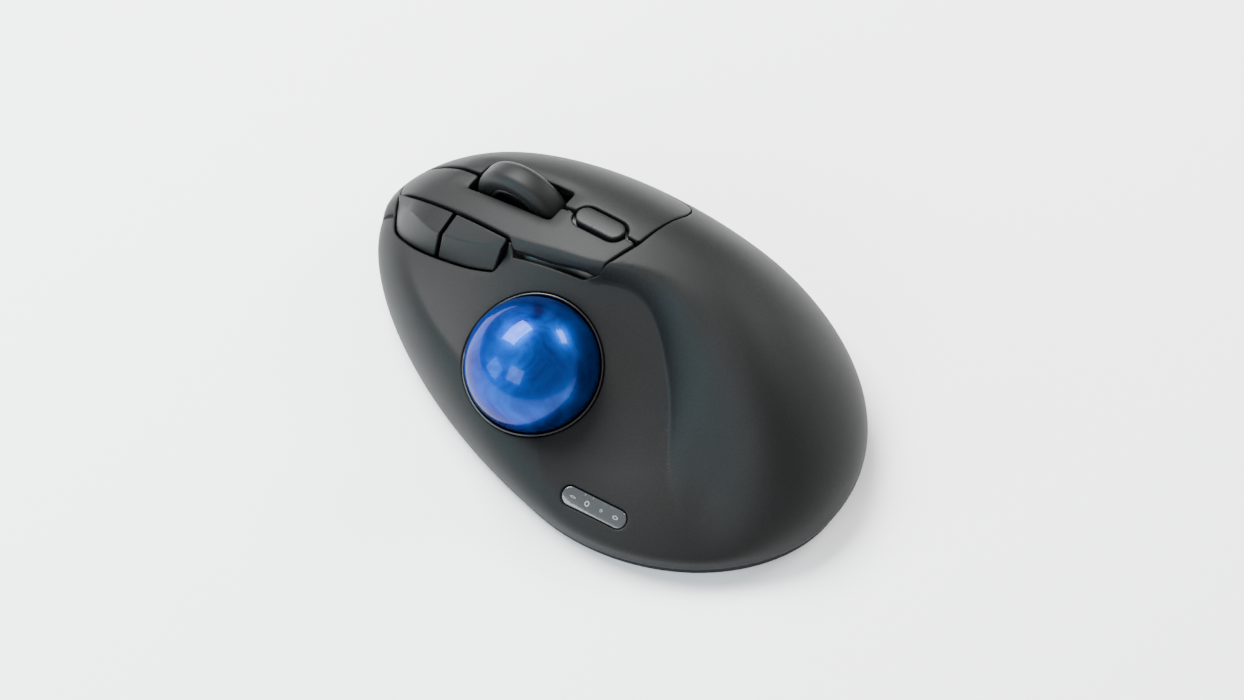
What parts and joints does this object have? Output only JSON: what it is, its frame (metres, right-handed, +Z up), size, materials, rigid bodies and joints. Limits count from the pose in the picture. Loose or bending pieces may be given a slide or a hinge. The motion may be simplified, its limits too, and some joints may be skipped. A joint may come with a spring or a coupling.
{
  "type": "trackball mouse",
  "caption": "Wireless right-hand thumb trackball mouse: egg-shaped body, slanted thumb face with ball, hinged main buttons, side buttons, scroll wheel, sliding battery door.",
  "frame": {"origin": "middle of the footprint, on the desk surface that the glide pads stand on", "axes": "+X towards the user's right, +Y towards the buttons (away from the user), +Z up"},
  "size_m": [0.09, 0.147, 0.0477],
  "materials": {
    "soft_touch_shell": "moulded ABS with a dark graphite soft-touch coat, fine grain",
    "button_skin": "moulded ABS with the same dark graphite coat",
    "side_button_skin": "moulded ABS, dark graphite, slightly smoother",
    "black_abs": "plain black moulded ABS",
    "base_plastic": "black moulded ABS, fine spark texture",
    "pearl_ball": "deep blue pearl resin, polished clear surface",
    "pom": "grey acetal",
    "ceramic": "polished ceramic",
    "tyre_rubber": "smooth dark silicone rubber",
    "steel": "plated steel",
    "nickel_spring": "nickel-plated spring steel",
    "pcb_green": "glass-epoxy board with green solder mask",
    "chip_black": "moulded epoxy package",
    "switch_case": "black switch housing",
    "clear_optic": "clear moulded acrylic",
    "smoked_window": "smoky translucent polycarbonate",
    "led_white": "white LED package",
    "cell_sleeve": "plain grey printed sleeve, no marks",
    "receiver_body": "black plastic with a plated plug",
    "ptfe": "dark grey PTFE glide sheet",
    "label_film": "blank silver-grey polyester film"
  },
  "bodies": {
    "housing": {"top_shell": "soft_touch_shell", "button_frame": "black_abs", "base_cover": "base_plastic", "led_window": "smoked_window", "front_left_foot": "ptfe", "front_right_foot": "ptfe", "left_foot": "ptfe", "right_foot": "ptfe", "rear_foot": "ptfe", "base_screws": "steel", "board_screws": "steel", "rating_label": "label_film", "ball_ring": "black_abs", "ball_cup": "black_abs", "bearing_balls": "ceramic", "sensor_lens": "clear_optic", "sensor_chip": "chip_black", "sensor_board": "pcb_green", "main_board": "pcb_green", "radio_chip": "chip_black", "left_switch": "switch_case", "right_switch": "switch_case", "middle_switch": "switch_case", "forward_switch": "switch_case", "back_switch": "switch_case", "deck_board": "pcb_green", "dpi_switch": "switch_case", "battery_cell": "cell_sleeve", "battery_contacts": "nickel_spring", "usb_receiver": "receiver_body", "power_switch": "switch_case", "pairing_switch": "switch_case", "switch_board": "pcb_green", "indicator_board": "pcb_green", "indicator_leds": "led_white", "light_guides": "clear_optic"},
    "left_key": {"left_button": "button_skin"},
    "right_key": {"right_button": "button_skin"},
    "forward_key": {"forward_button": "side_button_skin"},
    "back_key": {"back_button": "side_button_skin"},
    "dpi_key": {"dpi_button": "side_button_skin"},
    "carrier": {"wheel_carrier": "pom", "wheel_encoder": "pom"},
    "wheel": {"scroll_tyre": "tyre_rubber", "scroll_hub": "black_abs", "scroll_axle": "steel"},
    "ball": {"trackball": "pearl_ball"},
    "door": {"battery_door": "base_plastic"},
    "power_slide": {"power_slider": "pom"},
    "pairing_key": {"pairing_button": "pom"}
  },
  "joints": [
    {"name": "left_click", "type": "hinge", "parent": "housing", "child": "left_key", "pos_m": [0.005, 0.001, 0.043], "axis": [1, 0, 0], "range_deg": [-0.6, 0], "stiffness_Nm_per_rad": 3},
    {"name": "right_click", "type": "hinge", "parent": "housing", "child": "right_key", "pos_m": [0.022, -0.002, 0.043], "axis": [1, 0, 0], "range_deg": [-0.6, 0], "stiffness_Nm_per_rad": 3},
    {"name": "forward_press", "type": "slide", "parent": "housing", "child": "forward_key", "axis": [0, 0, 1], "range_m": [-0.0008, 0], "stiffness_N_per_m": 600},
    {"name": "back_press", "type": "slide", "parent": "housing", "child": "back_key", "axis": [0, 0, 1], "range_m": [-0.0008, 0], "stiffness_N_per_m": 600},
    {"name": "dpi_press", "type": "slide", "parent": "housing", "child": "dpi_key", "axis": [0, 0, 1], "range_m": [-0.0008, 0], "stiffness_N_per_m": 600},
    {"name": "wheel_press", "type": "slide", "parent": "housing", "child": "carrier", "axis": [0, 0, 1], "range_m": [-0.0008, 0], "stiffness_N_per_m": 900},
    {"name": "wheel_spin", "type": "hinge", "parent": "carrier", "child": "wheel", "pos_m": [0.00898, 0.0337, 0.0322], "axis": [0.9982, 0.0599, 0], "continuous": true},
    {"name": "ball_roll", "type": "hinge", "parent": "housing", "child": "ball", "pos_m": [-0.0225, 0.0047, 0.0258], "axis": [1, 0, 0], "continuous": true},
    {"name": "door_slide", "type": "slide", "parent": "housing", "child": "door", "axis": [0, -1, 0], "range_m": [0, 0.055]},
    {"name": "power_slide", "type": "slide", "parent": "housing", "child": "power_slide", "axis": [0, 1, 0], "range_m": [0, 0.0035]},
    {"name": "pairing_press", "type": "slide", "parent": "housing", "child": "pairing_key", "axis": [0, 0, 1], "range_m": [0, 0.0005], "stiffness_N_per_m": 400}
  ]
}
